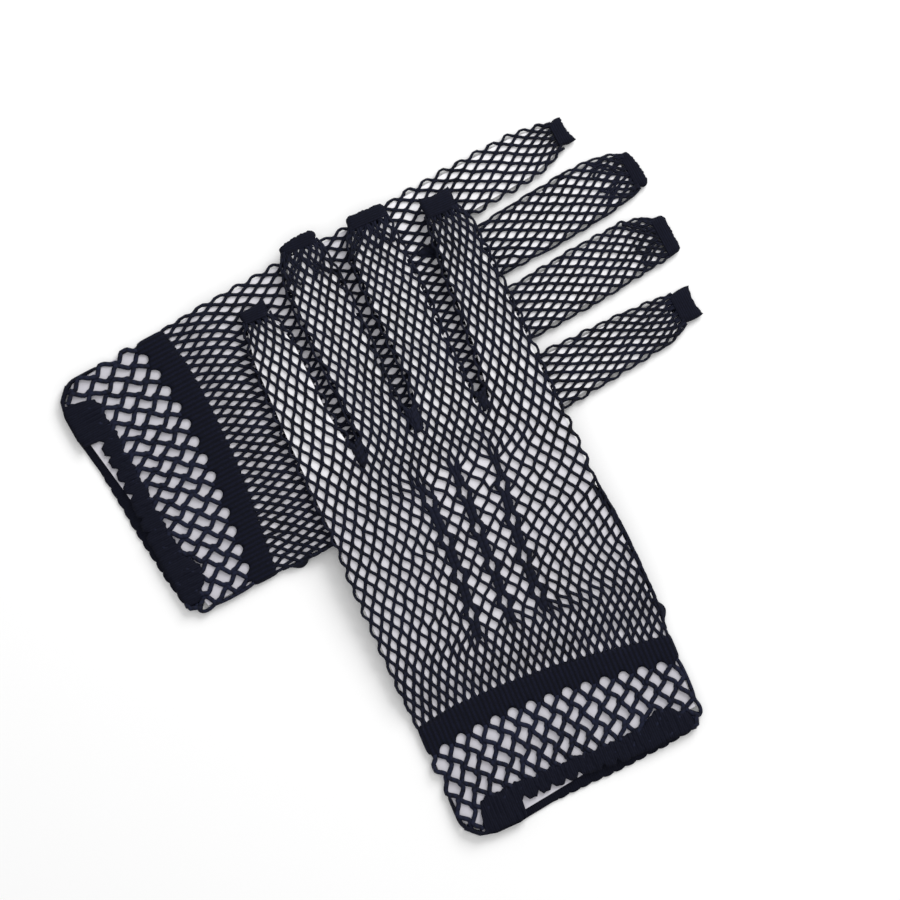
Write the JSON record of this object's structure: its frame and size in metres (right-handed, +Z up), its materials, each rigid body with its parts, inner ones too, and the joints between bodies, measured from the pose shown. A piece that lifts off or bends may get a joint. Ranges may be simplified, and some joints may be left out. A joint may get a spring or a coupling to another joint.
{
  "type": "pair of fishnet gloves on packing cards",
  "caption": "Left and right fishnet gloves laid crosswise: diamond mesh, stitched points, ribbed wrist band, coarse net cuff and frilled hem, each over a flat packing card.",
  "frame": {"origin": "on the surface that the pair lies on, under the middle of the pair's box", "axes": "+Z up, +X to the right and +Y away from a viewer who looks straight down with the left glove's cuff at the lower right, so the fingers of the right glove point to +X and +Y"},
  "size_m": [0.2274, 0.2538, 0.0104],
  "materials": {
    "net_yarn": "twisted nylon yarn, nearly black navy, knotted net",
    "rib_knit": "dense rib knit of the same yarn, matt",
    "card": "thin pale lilac-grey packing card, smooth and matt"
  },
  "bodies": {
    "root": {"left_hand_net": "net_yarn", "left_thumb_net": "net_yarn", "left_little_tip": "rib_knit", "left_ring_tip": "rib_knit", "left_middle_tip": "rib_knit", "left_index_tip": "rib_knit", "left_thumb_tip": "rib_knit", "left_wrist_band": "rib_knit", "left_cuff_net": "net_yarn", "left_hem": "rib_knit", "left_point_ring": "net_yarn", "left_point_middle": "net_yarn", "left_point_index": "net_yarn", "left_card": "card", "right_hand_net": "net_yarn", "right_thumb_net": "net_yarn", "right_little_tip": "rib_knit", "right_ring_tip": "rib_knit", "right_middle_tip": "rib_knit", "right_index_tip": "rib_knit", "right_thumb_tip": "rib_knit", "right_wrist_band": "rib_knit", "right_cuff_net": "net_yarn", "right_hem": "rib_knit", "right_point_ring": "net_yarn", "right_point_middle": "net_yarn", "right_point_index": "net_yarn", "right_card": "card"}
  },
  "joints": []
}
